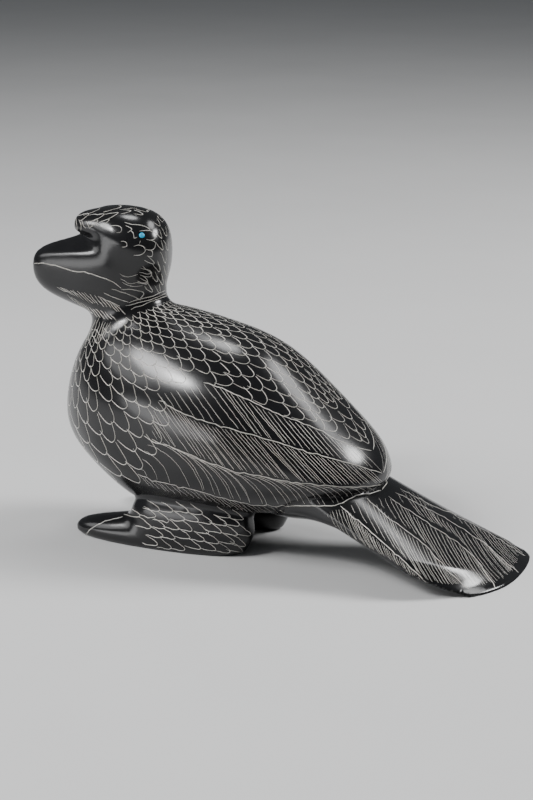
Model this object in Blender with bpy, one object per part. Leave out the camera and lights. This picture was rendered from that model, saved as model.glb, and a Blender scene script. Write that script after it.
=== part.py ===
"""A crow carved from one block of black marble, with turquoise inlaid eyes.

Metres, +Z up. The bird faces -X and its left side is towards -Y. The origin is on the ground
below the middle of the bird's box. The free form follows LENGTH: its stations are shares of
it, written in UNITs, and only the drilled eye seats and their inlays have sizes of their own.

The form is worked out as a field, the distance from any point to the stone. Each mass of the
bird has its own field, the masses are run together with fillets, and a skin is laid on it.
"""

import math

import bmesh
import bpy
import numpy as np
from mathutils import Vector

# Driving sizes, in metres and degrees
LENGTH = 0.178            # bill tip to tail end
HEAD_TURN = 20.0          # the head looks this far to the bird's left
TAIL_TURN = 4.0           # the tail swings this far to the bird's right
EYE_DIAMETER = 0.0020     # turquoise inlay
EYE_DEPTH = 0.0014        # how deep the inlay goes into the stone
EYE_PROUD = 0.0003        # how far it stands out of the stone
EYE_GAP = 0.0003          # room between the inlay and its drilled seat
SEAT_CLEAR = 0.004        # how far the seat's cutter runs out of the stone
SKIN_STEP = 0.0011        # spacing of the skin before it is thinned
STONE_TRIANGLES = 9000    # the skin is thinned to about this many
DISC_SIDES = 24           # sides of the round inlays and their seats

# Where the form below begins and ends, in its own UNITs, which are about a millimetre
BILL_TIP, TAIL_END = -86.61, 89.64
UNIT = LENGTH / (TAIL_END - BILL_TIP)

# Stations of the masses, in UNITs. Each row gives the place along the mass, the height of its
# axis, and how full it is to the side, above the axis and below it.
BODY = (
    (-78.4, 42, 31, 51, 27),
    (-62, 42, 33, 50, 30.2),
    (-48, 42, 33, 45, 35),
    (-17, 40, 33, 37.3, 29),
    (4, 37, 33, 35.5, 25),
    (23, 34, 34.5, 28.5, 19),
    (36, 31.5, 40, 24.8, 9),
    (44.5, 30, 43, 25.2, 6),
)
BILL = (
    (35.3, 92.6, 8, 10.6, 12),
    (26, 92.4, 9, 13, 12.5),
    (15, 92.5, 12.2, 16, 15.5),
    (3, 95, 15.2, 16.5, 21.5),
    (-9, 95, 17, 14.5, 23),
)
CROWN = (
    (19.8, 107.6, 8.5, 5.6, 4),
    (10, 107, 10.4, 6.6, 4.5),
    (0, 104, 13.4, 9.9, 7),
    (-13.4, 99.5, 14.8, 13.4, 16),
)
NECK = (
    (14, 72, 14, 14, 30),
    (0, 72, 13.5, 22, 30),
    (-12.6, 72, 12.5, 26, 30),
)
FOOT = (
    (-65, 2.2, 8, 6.4, 5),
    (-50, 2.4, 8.6, 6.9, 5),
    (-30, 2.6, 9, 10, 5),
    (-1.0, 2.6, 8.5, 12, 5),
)
HAUNCH = (
    (-43, 9, 9, 12, 10),
    (-25, 9, 9.5, 14, 10),
    (1.6, 9, 9, 14, 10),
)
EYE_AHEAD, EYE_HEIGHT = -6.2, 4.72     # the eye, ahead of the neck and above the crown
FOOT_OUT_FRONT, FOOT_OUT_HEEL = 19.5, 14.3   # the foot's middle line, out from the bird's
HEAD_AT = -53.0                              # where the neck's axis stands
FACET_EDGE = 0.9                             # rounding of the bill's facet edges
# The crest stands on the bill with a small fillet, and from the brow back with a large one
CREST_FILLET, BROW_FILLET = 1.0, 6.0
BROW_FROM, BROW_RUN = 17.0, 9.0
NECK_FILLET, THROAT_FILLET = 4.0, 3.4
FOOT_FRONT, FOOT_HEEL = -60.0, -5.0
LEG_FILLET = 2.5
# The tail: a slab that widens, falls and thins towards a round end
TAIL_AT, TAIL_ROOT = 36.0, 24.0
TAIL_HALF, TAIL_FLARE = 23.0, 0.17
TAIL_TOP, TOP_FALL = 30.5, 0.56
TAIL_BASE, BASE_FALL = 13.0, 0.30
TOP_DROOP, BASE_LIFT = (8.0, -0.12), (6.0, -0.1)   # at the tail's root, and the change per UNIT
TAIL_ROUND = (10.0, 11.0, 45.3)                    # the round end's centre and radius
TAIL_THINNING, TAIL_RIM = 8.0, 1.2
TAIL_CORNER, TAIL_EDGE = 6.0, 1.6
# The fillet under the wing tips is small, and larger below, under the rump
WING_FILLET, RUMP_FILLET = 0.8, 7.0
UNDER_FROM, UNDER_RUN = 25.0, 6.0
SKIN_ROOM = 12.0                             # room round the form, where its skin is looked for
# The bill's upper facet: the place along the head, its lower edge's height and place out from
# the middle, and how steeply it falls to that edge
FACET = (
    (36, 96.0, 2.0, 0.5),
    (31, 98.5, 3.4, 0.5),
    (26, 99.4, 5.2, 0.52),
    (18, 100.4, 8.2, 0.54),
    (6, 101.6, 13.4, 1.2),
    (-6, 104, 17, 2.0),
)


def spline(places, values, at):
    """A smooth curve through the stations, read at the places asked for."""
    order = np.argsort(places)
    x, y = np.asarray(places, float)[order], np.asarray(values, float)[order]
    gap = np.diff(x)
    system = np.eye(len(x))
    load = np.zeros(len(x))
    for i in range(1, len(x) - 1):
        system[i, i - 1:i + 2] = gap[i - 1], 2 * (gap[i - 1] + gap[i]), gap[i]
        load[i] = 3 * ((y[i + 1] - y[i]) / gap[i] - (y[i] - y[i - 1]) / gap[i - 1])
    bend = np.linalg.solve(system, load)
    at = np.clip(at, x[0], x[-1])
    i = np.clip(np.searchsorted(x, at) - 1, 0, len(x) - 2)
    step = at - x[i]
    slope = (y[i + 1] - y[i]) / gap[i] - gap[i] * (2 * bend[i] + bend[i + 1]) / 3
    return y[i] + step * (slope + step * (bend[i] + step * (bend[i + 1] - bend[i]) / (3 * gap[i])))


def eased(share):
    """0 to 1, with a soft start and end."""
    share = np.clip(share, 0, 1)
    return share * share * (3 - 2 * share)


def join(one, other, fillet):
    """Two fields run together, with a fillet of about this size between them."""
    near = np.maximum(fillet - np.abs(one - other), 0) / fillet
    return np.minimum(one, other) - near * near * fillet / 4


def trim(one, other, rounding):
    """What lies in both fields, with the edge between them rounded."""
    return -join(-one, -other, rounding)


def mass(along, across, height, stations, bluntness=2.0):
    """A long rounded mass. A bluntness over 2 gives it fuller ends."""
    place, axis, side, above, below = zip(*stations)
    middle, half = (place[0] + place[-1]) / 2, abs(place[-1] - place[0]) / 2
    rise = height - spline(place, axis, along)
    side = spline(place, side, along)
    above, below = spline(place, above, along), spline(place, below, along)
    upper = 0.5 + 0.5 * np.tanh(rise / (0.18 * (above + below)))
    deep = below + (above - below) * upper
    t = np.abs(along - middle) / half
    r = np.sqrt((across / side) ** 2 + (rise / deep) ** 2) + 1e-9
    size = (t**bluntness + r**bluntness) ** (1 / bluntness) + 1e-9
    pull_t = (t / size) ** (bluntness - 1) / half
    pull_r = (r / size) ** (bluntness - 1) / r
    steep = np.sqrt(pull_t**2 + (pull_r * across / side**2) ** 2 + (pull_r * rise / deep**2) ** 2)
    return (size - 1) / (steep + 1e-3)


def head_axes(x, y):
    """Places ahead of the neck's axis and to the bird's left of it, with the head turned."""
    turn = math.radians(HEAD_TURN)
    dx = x - HEAD_AT
    return -dx * math.cos(turn) - y * math.sin(turn), dx * math.sin(turn) - y * math.cos(turn)


def head(x, y, z):
    ahead, left = head_axes(x, y)
    bill = mass(ahead, left, z, BILL, 2.5)
    place, height, out, fall = zip(*FACET)
    height, out, fall = (spline(place, column, ahead) for column in (height, out, fall))
    roof = (z - height - fall * (out - np.sqrt(left**2 + 1.4))) / np.sqrt(1 + fall**2)
    bill = trim(bill, roof, FACET_EDGE)
    crown = mass(ahead, left, z, CROWN, 3.0)
    neck = mass(ahead, left, z, NECK, 2.4)
    brow_fillet = CREST_FILLET + BROW_FILLET * eased((BROW_FROM - ahead) / BROW_RUN)
    return join(join(bill, crown, brow_fillet), neck, NECK_FILLET)


def tail(x, y, z):
    turn = math.radians(-TAIL_TURN)
    dx = x - TAIL_AT
    back = dx * math.cos(turn) - y * math.sin(turn)
    out = dx * math.sin(turn) + y * math.cos(turn)
    half = TAIL_HALF + TAIL_FLARE * back
    share = np.abs(out) / half
    top_droop, base_lift = (first + change * back for first, change in (TOP_DROOP, BASE_LIFT))
    top = TAIL_TOP - TOP_FALL * back - top_droop * share**3
    base = TAIL_BASE - BASE_FALL * np.maximum(back, 0.3 * back) + base_lift * share**2
    end_back, end_out, end_radius = TAIL_ROUND
    end = np.sqrt((back - end_back) ** 2 + (0.95 * (out - end_out)) ** 2) - end_radius
    thin = eased(1 + end / TAIL_THINNING)
    top = np.where(top > TAIL_RIM, TAIL_RIM + (top - TAIL_RIM) * (1 - thin), top)
    slab = trim(z - top, base - z, 1.5) * 0.86
    corners = trim(np.abs(out) - half, end, TAIL_CORNER)
    return trim(trim(slab, corners, TAIL_EDGE), -TAIL_ROOT - back, TAIL_CORNER)


def legs(x, y, z):
    share = np.clip((x - FOOT_FRONT) / (FOOT_HEEL - FOOT_FRONT), -0.2, 1.2)
    out = np.abs(y) - (FOOT_OUT_FRONT + (FOOT_OUT_HEEL - FOOT_OUT_FRONT) * share)
    foot = mass(x, out, z, FOOT, 2.4)
    haunch = mass(x, out, z, HAUNCH, 2.7)
    return join(foot, haunch, LEG_FILLET)


def stone(points):
    """The whole carving's field at points given in metres, in metres."""
    x, y, z = (np.asarray(points, float) / UNIT).T
    bird = join(mass(x, y, z, BODY), head(x, y, z), THROAT_FILLET)
    under = eased((UNDER_FROM - z) / UNDER_RUN)
    bird = join(bird, tail(x, y, z), WING_FILLET + RUMP_FILLET * under)
    return join(bird, legs(x, y, z), LEG_FILLET) * UNIT


def slope(field, points):
    """The way the field grows at each point."""
    step = 2e-5
    return np.stack([(field(points + step * axis) - field(points - step * axis)) / (2 * step)
                     for axis in np.eye(3)], axis=1)


def settle(field, points, reach, rounds=8):
    """The points moved onto the field's surface."""
    for _ in range(rounds):
        rise = slope(field, points)
        move = rise * (field(points) / ((rise**2).sum(1) + 1e-6))[:, None]
        far = np.linalg.norm(move, axis=1)[:, None]
        points = points - move * np.minimum(1, reach / np.maximum(far, 1e-12))
    return points


def untangle(value):
    """Parts the places where two corners of the grid would touch across a face."""
    for axis in (0, 1, 2) * 3:
        flat = np.moveaxis(value, axis, 0)
        a, b, c, d = flat[:, :-1, :-1], flat[:, 1:, :-1], flat[:, 1:, 1:], flat[:, :-1, 1:]
        a[(a < 0) & (c < 0) & (b >= 0) & (d >= 0)] = 1e-9
        b[(b < 0) & (d < 0) & (a >= 0) & (c >= 0)] = 1e-9


def skin(field, low, high, step):
    """A closed skin of four-sided faces on the field's surface."""
    axes = [np.arange(a, b + step, step) for a, b in zip(low, high)]
    count = np.array([len(a) for a in axes])
    grid = np.stack(np.meshgrid(*axes, indexing="ij"), axis=-1)
    value = np.concatenate([field(layer.reshape(-1, 3)) for layer in grid]).reshape(count)
    untangle(value)
    inside = value < 0
    total = np.zeros(tuple(count - 1) + (3,))
    hits = np.zeros(count - 1)
    faces = []
    for axis in range(3):
        first = [slice(None)] * 3
        second = [slice(None)] * 3
        first[axis], second[axis] = slice(0, -1), slice(1, None)
        first, second = tuple(first), tuple(second)
        crossed = np.argwhere(inside[first] != inside[second])
        a, b = value[first][tuple(crossed.T)], value[second][tuple(crossed.T)]
        where = grid[first][tuple(crossed.T)].copy()
        where[:, axis] += step * a / (a - b)
        side, other = (axis + 1) % 3, (axis + 2) % 3
        ring = []
        for shift_side, shift_other in ((0, 0), (-1, 0), (-1, -1), (0, -1)):
            cell = crossed.copy()
            cell[:, side] += shift_side
            cell[:, other] += shift_other
            np.add.at(total, tuple(cell.T), where)
            np.add.at(hits, tuple(cell.T), 1)
            ring.append(np.ravel_multi_index(cell.T, count - 1))
        ring = np.stack(ring, axis=1)
        ring[a > 0] = ring[a > 0][:, ::-1]
        faces.append(ring)
    used = np.flatnonzero(hits.ravel())
    points = total.reshape(-1, 3)[used] / hits.ravel()[used, None]
    return settle(field, points, step / 2), np.searchsorted(used, np.concatenate(faces))


def clear_scene():
    for thing in list(bpy.data.objects):
        bpy.data.objects.remove(thing, do_unlink=True)


def material(name, colour, roughness, metallic=0.0):
    made = bpy.data.materials.new(name)
    made.use_nodes = True
    shader = made.node_tree.nodes["Principled BSDF"]
    shader.inputs["Base Color"].default_value = (*colour, 1.0)
    shader.inputs["Roughness"].default_value = roughness
    shader.inputs["Metallic"].default_value = metallic
    return made


def add_object(name, mesh, finish=None):
    thing = bpy.data.objects.new(name, mesh)
    bpy.context.scene.collection.objects.link(thing)
    if finish:
        mesh.materials.append(finish)
    return thing


def add_box(name, low, high):
    """A box between two corners, for cutting."""
    shape = bmesh.new()
    bmesh.ops.create_cube(shape, size=1.0)
    for vert in shape.verts:
        vert.co = [a + (b - a) * (c + 0.5) for a, b, c in zip(low, high, vert.co)]
    mesh = bpy.data.meshes.new(name)
    shape.to_mesh(mesh)
    shape.free()
    return as_cutter(add_object(name, mesh))


def as_cutter(thing):
    thing.hide_render = True
    thing.display_type = "WIRE"
    return thing


def cut(thing, cutter):
    modifier = thing.modifiers.new("cut by " + cutter.name, "BOOLEAN")
    modifier.operation = "DIFFERENCE"
    modifier.solver = "EXACT"
    modifier.object = cutter


def eye_place(side):
    """The middle of an eye on the stone, and the way the stone faces there."""
    turn = math.radians(HEAD_TURN)
    ahead = np.array([-math.cos(turn), -math.sin(turn), 0.0])
    left = np.array([math.sin(turn), -math.cos(turn), 0.0])
    place, height, reach = np.array(CROWN).T[:3]
    level = spline(place, height, EYE_AHEAD) + EYE_HEIGHT
    middle = np.array([HEAD_AT, 0.0, level]) * UNIT + ahead * EYE_AHEAD * UNIT
    near, far = 0.0, 2 * reach.max() * UNIT
    for _ in range(40):
        half = (near + far) / 2
        if stone((middle + side * left * half)[None])[0] < 0:
            near = half
        else:
            far = half
    place = middle + side * left * near
    out = slope(stone, place[None])[0]
    return Vector(place), Vector(out / np.linalg.norm(out))


def turned_disc(name, radius, low, high, place, out, dome=0.0):
    """A short round plug along the way the stone faces, with a domed outer end."""
    rings = [(radius, low), (radius, high - dome)]
    if dome:
        rings += [(radius * math.cos(angle), high - dome + dome * math.sin(angle))
                  for angle in (math.radians(30), math.radians(60))]
    turn = out.to_track_quat("Z", "Y")
    shape = bmesh.new()
    loops = []
    for ring_radius, height in rings:
        loops.append([])
        for i in range(DISC_SIDES):
            angle = 2 * math.pi * i / DISC_SIDES
            spot = Vector((ring_radius * math.cos(angle), ring_radius * math.sin(angle), height))
            loops[-1].append(shape.verts.new(place + turn @ spot))
    for lower, upper in zip(loops, loops[1:]):
        for i in range(DISC_SIDES):
            k = (i + 1) % DISC_SIDES
            shape.faces.new((lower[i], lower[k], upper[k], upper[i]))
    shape.faces.new(loops[0][::-1])
    shape.faces.new(loops[-1])
    mesh = bpy.data.meshes.new(name)
    shape.to_mesh(mesh)
    shape.free()
    return mesh


def build_stone():
    widest = max(side for _, _, side, _, _ in BODY) + SKIN_ROOM
    tallest = max(height + above for _, height, _, above, _ in CROWN) + SKIN_ROOM
    low = np.array([BILL_TIP - SKIN_ROOM, -widest, -SKIN_ROOM])
    high = np.array([TAIL_END + SKIN_ROOM, widest, tallest])
    points, faces = skin(stone, low * UNIT, high * UNIT, SKIN_STEP)
    mesh = bpy.data.meshes.new("crow_stone")
    mesh.from_pydata(points.tolist(), [], faces.tolist())
    mesh.polygons.foreach_set("use_smooth", [True] * len(mesh.polygons))
    bird = add_object("crow_stone", mesh, material("black_marble", (0.012, 0.012, 0.013), 0.08))
    thin = bird.modifiers.new("thin the skin", "DECIMATE")
    thin.ratio = min(1.0, STONE_TRIANGLES / (2 * len(faces)))
    ground = add_box("ground_cutter", (-2 * LENGTH, -LENGTH, -LENGTH), (2 * LENGTH, LENGTH, 0))
    cut(bird, ground)
    return bird


def centre_on_origin():
    """Moves everything so that the middle of the bird's length is over the origin."""
    middle = bpy.data.objects.new("middle", None)
    bpy.context.scene.collection.objects.link(middle)
    middle.location.x = -(BILL_TIP + TAIL_END) / 2 * UNIT
    for thing in bpy.context.scene.objects:
        if thing is not middle:
            thing.parent = middle


def main():
    clear_scene()
    bird = build_stone()
    turquoise = material("turquoise", (0.05, 0.62, 0.78), 0.3)
    for name, side in (("eye_left", 1), ("eye_right", -1)):
        place, out = eye_place(side)
        eye = turned_disc(name, EYE_DIAMETER / 2, -EYE_DEPTH, EYE_PROUD, place, out, EYE_PROUD)
        add_object(name, eye, turquoise)
        seat = turned_disc(name + "_seat", EYE_DIAMETER / 2 + EYE_GAP, -EYE_DEPTH - EYE_GAP,
                           SEAT_CLEAR, place, out)
        cut(bird, as_cutter(add_object(name + "_seat", seat)))
    centre_on_origin()


main()
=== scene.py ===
"""The looks of a crow carved from black marble, with scratched feathers and turquoise eyes.

Metres, +Z up. The bird faces -X and its left side is towards -Y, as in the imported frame. The
stone's form is the field that the part's solid is made from, laid with a finer skin. The
feather lines are narrow grooves cut into that skin, so they are bare matte stone in a polish.
"""

import math

import bmesh
import bpy
import numpy as np
from bpy.props import FloatProperty, FloatVectorProperty, IntProperty, PointerProperty
from mathutils import Matrix, Vector


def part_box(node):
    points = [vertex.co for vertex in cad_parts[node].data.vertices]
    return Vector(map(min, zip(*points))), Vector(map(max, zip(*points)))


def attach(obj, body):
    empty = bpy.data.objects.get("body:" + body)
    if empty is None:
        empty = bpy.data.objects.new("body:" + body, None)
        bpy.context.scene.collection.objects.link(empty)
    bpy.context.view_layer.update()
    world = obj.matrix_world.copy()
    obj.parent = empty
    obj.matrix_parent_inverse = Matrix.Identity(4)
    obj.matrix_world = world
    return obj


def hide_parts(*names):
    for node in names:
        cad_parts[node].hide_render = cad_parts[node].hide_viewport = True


bl_info = {
    "name": "Scratched crow carving",
    "version": (1, 0, 0),
    "blender": (4, 5, 0),
    "location": "View3D > Sidebar > Crow",
    "description": "Builds a polished stone crow with scratched feathers and inlaid eyes",
    "category": "Object",
}

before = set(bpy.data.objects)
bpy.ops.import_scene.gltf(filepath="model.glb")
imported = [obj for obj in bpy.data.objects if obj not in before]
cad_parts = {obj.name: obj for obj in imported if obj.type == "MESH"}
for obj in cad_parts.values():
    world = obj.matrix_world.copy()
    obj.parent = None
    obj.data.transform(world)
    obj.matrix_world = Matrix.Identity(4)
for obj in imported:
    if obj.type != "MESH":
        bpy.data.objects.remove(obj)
LOW, HIGH = (np.array(corner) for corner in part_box("crow_stone"))

# The form, with the same stations as the solid
HEAD_TURN = 20.0          # the head looks this far to the bird's left
TAIL_TURN = 4.0           # the tail swings this far to the bird's right
BILL_TIP, TAIL_END = -86.61, 89.64
UNIT = float(HIGH[0] - LOW[0]) / (TAIL_END - BILL_TIP)
MIDDLE = (BILL_TIP + TAIL_END) / 2

BODY = (
    (-78.4, 42, 31, 51, 27),
    (-62, 42, 33, 50, 30.2),
    (-48, 42, 33, 45, 35),
    (-17, 40, 33, 37.3, 29),
    (4, 37, 33, 35.5, 25),
    (23, 34, 34.5, 28.5, 19),
    (36, 31.5, 40, 24.8, 9),
    (44.5, 30, 43, 25.2, 6),
)
BILL = (
    (35.3, 92.6, 8, 10.6, 12),
    (26, 92.4, 9, 13, 12.5),
    (15, 92.5, 12.2, 16, 15.5),
    (3, 95, 15.2, 16.5, 21.5),
    (-9, 95, 17, 14.5, 23),
)
CROWN = (
    (19.8, 107.6, 8.5, 5.6, 4),
    (10, 107, 10.4, 6.6, 4.5),
    (0, 104, 13.4, 9.9, 7),
    (-13.4, 99.5, 14.8, 13.4, 16),
)
NECK = (
    (14, 72, 14, 14, 30),
    (0, 72, 13.5, 22, 30),
    (-12.6, 72, 12.5, 26, 30),
)
FOOT = (
    (-65, 2.2, 8, 6.4, 5),
    (-50, 2.4, 8.6, 6.9, 5),
    (-30, 2.6, 9, 10, 5),
    (-1.0, 2.6, 8.5, 12, 5),
)
HAUNCH = (
    (-43, 9, 9, 12, 10),
    (-25, 9, 9.5, 14, 10),
    (1.6, 9, 9, 14, 10),
)
FOOT_OUT_FRONT, FOOT_OUT_HEEL = 19.5, 14.3
HEAD_AT = -53.0                              # where the neck's axis stands
FACET_EDGE = 0.9                             # rounding of the bill's facet edges
# The crest stands on the bill with a small fillet, and from the brow back with a large one
CREST_FILLET, BROW_FILLET = 1.0, 6.0
BROW_FROM, BROW_RUN = 17.0, 9.0
NECK_FILLET, THROAT_FILLET = 4.0, 3.4
FOOT_FRONT, FOOT_HEEL = -60.0, -5.0
LEG_FILLET = 2.5
# The tail: a slab that widens, falls and thins towards a round end
TAIL_AT, TAIL_ROOT = 36.0, 24.0
TAIL_HALF, TAIL_FLARE = 23.0, 0.17
TAIL_TOP, TOP_FALL = 30.5, 0.56
TAIL_BASE, BASE_FALL = 13.0, 0.30
TOP_DROOP, BASE_LIFT = (8.0, -0.12), (6.0, -0.1)   # at the tail's root, and the change per UNIT
TAIL_ROUND = (10.0, 11.0, 45.3)                    # the round end's centre and radius
TAIL_THINNING, TAIL_RIM = 8.0, 1.2
TAIL_CORNER, TAIL_EDGE = 6.0, 1.6
# The fillet under the wing tips is small, and larger below, under the rump
WING_FILLET, RUMP_FILLET = 0.8, 7.0
UNDER_FROM, UNDER_RUN = 25.0, 6.0
FACET = (
    (36, 96.0, 2.0, 0.5),
    (31, 98.5, 3.4, 0.5),
    (26, 99.4, 5.2, 0.52),
    (18, 100.4, 8.2, 0.54),
    (6, 101.6, 13.4, 1.2),
    (-6, 104, 17, 2.0),
)

# The eye point that the feathers are drawn from, and the drawing's size and scale. The same
# place holds the camera.
EYE_POINT = np.array((291.53 - MIDDLE, -548.29, 229.74)) * UNIT
SIGHT = np.array((-0.451285, 0.848744, -0.275637))
SHEET = (533, 800)
FOCAL = 1889.0
SENSOR = 36.0

# Feather shafts of the left wing, from the back down, as places on the drawing
WING_SHAFTS = (
    ((203.5, 382), (239, 396), (283, 416), (321, 431), (356, 447), (382, 454), (391, 462)),
    ((159, 400), (180, 412), (231, 429), (262, 438), (302, 450), (334, 459), (363, 467), (389, 476)),
    ((151, 439), (180, 451), (202, 460), (236, 472), (253, 475), (291, 482), (327, 486),
     (360, 487), (386, 484)),
    ((138, 475), (160, 482), (198, 491), (234, 501), (253, 505), (291, 505.7), (322, 506),
     (340, 504), (350, 499), (370, 493), (388, 489)),
)
WING_BARBS_FROM = ((163, 391), (185, 386), (203.5, 382)) + WING_SHAFTS[0][1:]
WING = ((178, 389), (190, 384), (205, 383), (239, 395), (283, 415), (321, 430), (356, 446),
        (382, 453), (398, 462), (398, 492), (350, 503), (322, 510), (253, 509), (234, 505),
        (198, 494), (166, 487), (152, 478), (158, 462), (166, 446), (171, 428), (171, 405))
TAIL_SHAFTS = (
    ((340, 506), (362, 524), (389, 548), (410, 567), (429, 585)),
    ((367, 499), (397, 524), (429, 549), (441, 563), (468, 589)),
    ((388, 496), (410, 511), (434, 527), (472, 555), (496, 588)),
    ((395, 492), (434, 512), (478, 539), (518, 573)),
    ((400, 489), (430, 504), (463, 519), (495, 536), (525, 556)),
)
TAIL_NEAR = ((323, 512), (330, 523), (359, 544), (383, 557), (404, 572), (428, 588))
TAIL_FAR = ((404, 491), (431, 503), (463, 516), (499, 535), (524, 554))
LEG = ((133, 512), (150, 505), (200, 511), (240, 516), (249, 527), (250, 536), (236, 552),
       (208, 554), (176, 549.5), (148, 547.5), (140, 530))
# Feathers of the crest, and of the back of the cheek and the nape: the tip's place on the
# drawing, the way it points in degrees, and its length and width
CREST_FEATHERS = (
    (99.2, 208.2, -14, 17, 6.5), (121, 206.2, -8, 19, 6.5), (89, 214, -22, 12, 6), (104, 214, -18, 14, 6),
    (118, 212.6, -20, 13, 5.5), (98, 220, -28, 11, 5.5), (109, 219.4, -32, 10, 5), (138, 206.8, 4, 14, 5),
    (131, 210.5, -6, 11, 4.5), (148, 211.5, 22, 12, 5), (143, 214, 14, 10, 4.5),
)
NAPE_FEATHERS = (
    (154, 264, 35, 10, 6), (151, 274, 25, 11, 6), (148, 283.5, 20, 10, 5.5),
    (160, 272, 62, 11, 6), (157, 282, 65, 10, 5), (163, 285, 70, 11, 5), (152, 292, 50, 9, 5),
    (160, 293, 72, 9, 5), (166, 263, 75, 12, 5), (168, 277, 82, 12, 4.5), (167.5, 290, 85, 11, 4.5),
    (163, 250, 62, 10, 5), (168, 250, 78, 11, 4.5), (162, 238, 58, 9, 5), (166.5, 236, 72, 10, 4.5),
    (160, 226, 50, 8, 5), (163, 222, 60, 8, 4),
)
# Strokes round the left eye and on the cheek
FACE = (
    ((124.4, 221.8), (134, 224.8), (143.6, 226), (150.8, 229.6)),
    ((125.6, 225.4), (131.6, 229), (127, 232.6)),
    ((140, 231.0), (147, 230.4), (152, 231.4), (156.2, 235), (153.8, 239.2), (146, 239.2)),
    ((150.8, 239.8), (155.6, 243.4), (154.4, 248.2), (146, 249.4)),
    ((133.4, 246.4), (139, 245.6), (143, 246.6), (145.4, 250), (142.4, 254.2), (134, 254.8)),
    ((147.8, 250.4), (152.6, 251.2), (152, 256), (147.2, 255.8)),
    ((130.4, 230.2), (133.4, 234.4), (134.6, 238), (137.2, 237.4)),
    ((139.8, 240.6), (139.4, 244)),
    ((111.2, 225.4), (116, 225.2), (120.8, 227.2), (121.4, 230.8), (116, 232.6)),
    ((120.8, 241.6), (126.2, 242.8), (126.4, 245.8), (122, 247)),
    ((140.6, 268.6), (147, 269.8), (151, 273), (150.8, 276), (146, 276.6), (140, 274.6)),
    ((140, 274.6), (146, 278.8), (147.2, 282.5), (143.6, 283.2), (137.5, 281)),
    ((119.6, 274), (125.6, 276.4), (137.6, 274.6)),
    ((120.8, 278.8), (128, 283), (140, 282.4)),
    ((122, 282.6), (130.4, 286), (142.4, 286)),
    ((120.8, 289.6), (131.6, 289.6), (143.6, 294.4), (140, 298)),
    ((112, 289), (124, 293), (134, 296.6), (141, 299.6)),
    ((104, 293), (116, 298), (128, 302.2)),
    ((98, 296), (110, 302), (120, 306)),
    ((128, 303), (140, 299), (150, 297), (158, 294), (165, 290.5)),
    ((126, 306), (140, 302.6), (152, 299), (166, 293.4)),
    ((131, 309.4), (143, 305), (156, 300), (167, 296)),
)
CREST_STROKES = (
    ((76.2, 218), (76.4, 224), (78, 230.4)), ((78.6, 219.6), (80.6, 225), (81, 230)),
    ((82.4, 219.8), (83.4, 224.6), (85.4, 229)), ((86.4, 220.8), (87.4, 224.6), (89.6, 228.2)),
    ((91, 222.4), (92.4, 226.8)), ((95.4, 222.8), (97.4, 226)),
)
MOUTH = ((32.6, 262.6), (40, 263), (47.6, 264), (57, 266), (66, 268.6), (84, 272), (100, 277),
         (112, 282), (121, 288))
TOE = ((84, 536), (93, 528), (106, 521), (122, 517))
THROAT_FROM = ((55, 286), (66, 288), (78, 291), (90, 294), (104, 298), (114, 303))
THROAT_TO = ((68, 293), (79, 298), (91, 303), (103, 307), (116, 311), (125, 314))
JAW_FROM = ((66, 294), (76, 299), (86, 305), (97, 309), (108, 312))
JAW_TO = ((77, 303), (87, 310), (97, 316), (106, 319), (116, 320))
NECK_FROM = ((91, 317), (97, 318), (104, 319), (112, 318.5))
NECK_TO = ((80, 341), (87, 343), (95, 343), (103, 338))

# An even triangle on a circle of radius one: its height, its base from the centre, and what
# brings its side to one
TRIANGLE_HEIGHT, TRIANGLE_BASE, SIDE_TO_ONE = 1.5, -0.5, 0.5 / 0.8660254
STAND_SHARE = 0.6         # how far a wedge stands out of the stone, as a share of its depth
PIXEL = 0.000342          # what one place of the drawing spans on the stone
EDGE_BARB_RUN = 9         # how far the barbs under the lowest wing shaft reach, on the drawing
TAIL_SLANTS = ((66, 58), (62, 54), (56, 50), (50, 46))
# The charts of the small feathers: centres and poles in the form's units, and the rows, each
# with the first, where they end and the room from one to the next
BODY_CENTRE, BREAST_POLE, RUMP_POLE = (-15, 0, 42), (-38, 0, 33), (59, 0, -12)
FRONT_ROWS, REAR_ROWS = (-2.3, 1.25, 0.163), (1.25, 2.3, 0.22)
HEAD_CENTRE, NAPE_ROWS, NAPE_COLUMNS = 96, (-1.6, 2.2, 0.24), 26
# Where the small feathers stop: under the belly, under the rump and under the wing tips
PLAIN_BELOW = 13
RUMP_BELOW, RUMP_BEHIND = 22, -30
TIPS_UNDER, TIPS_BEHIND = 484, -44
NAPE_BEHIND, NAPE_HALF, NAPE_LOW, NAPE_HIGH = 5, 10.5, 80, 111
SEEN = 0.12               # cosine of the slant at which the drawing still shows the stone
BURIED = 0.0013           # a small feather deeper than this under another mass isn't laid
ON_STONE = 3e-5           # how near a cast point has to come to the stone
MIDDLE_FREE = 0.0002      # mirrored strokes stay this far from the middle
SHORTEST_STROKE, LONGEST_EDGE, OFF_COURSE = 0.0009, 0.004, 0.00004
STROKE_ROOM = 0.0005      # strokes nearer than this are cut in separate sets
STROKE_END = 0.55         # a stroke's size at its two ends, as a share of its own
SAME_WAY = 0.55           # a face that turns further from the form keeps its own shading
GROUND_BOX = (400, 200, 40)                       # what cuts the soles flat, in millimetres
# The eye's dome: its radius, its rise, how far its widest ring is sunk, and where it ends below
EYE_RADIUS, EYE_DOME, EYE_SUNK, EYE_BELOW = 0.00098, 0.00038, 0.0001, 0.4
SEAT_RADIUS, SEAT_DEPTH, SEAT_OUT = 1.2, 5.0, 1.0     # the eye's seat, in millimetres
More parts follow.
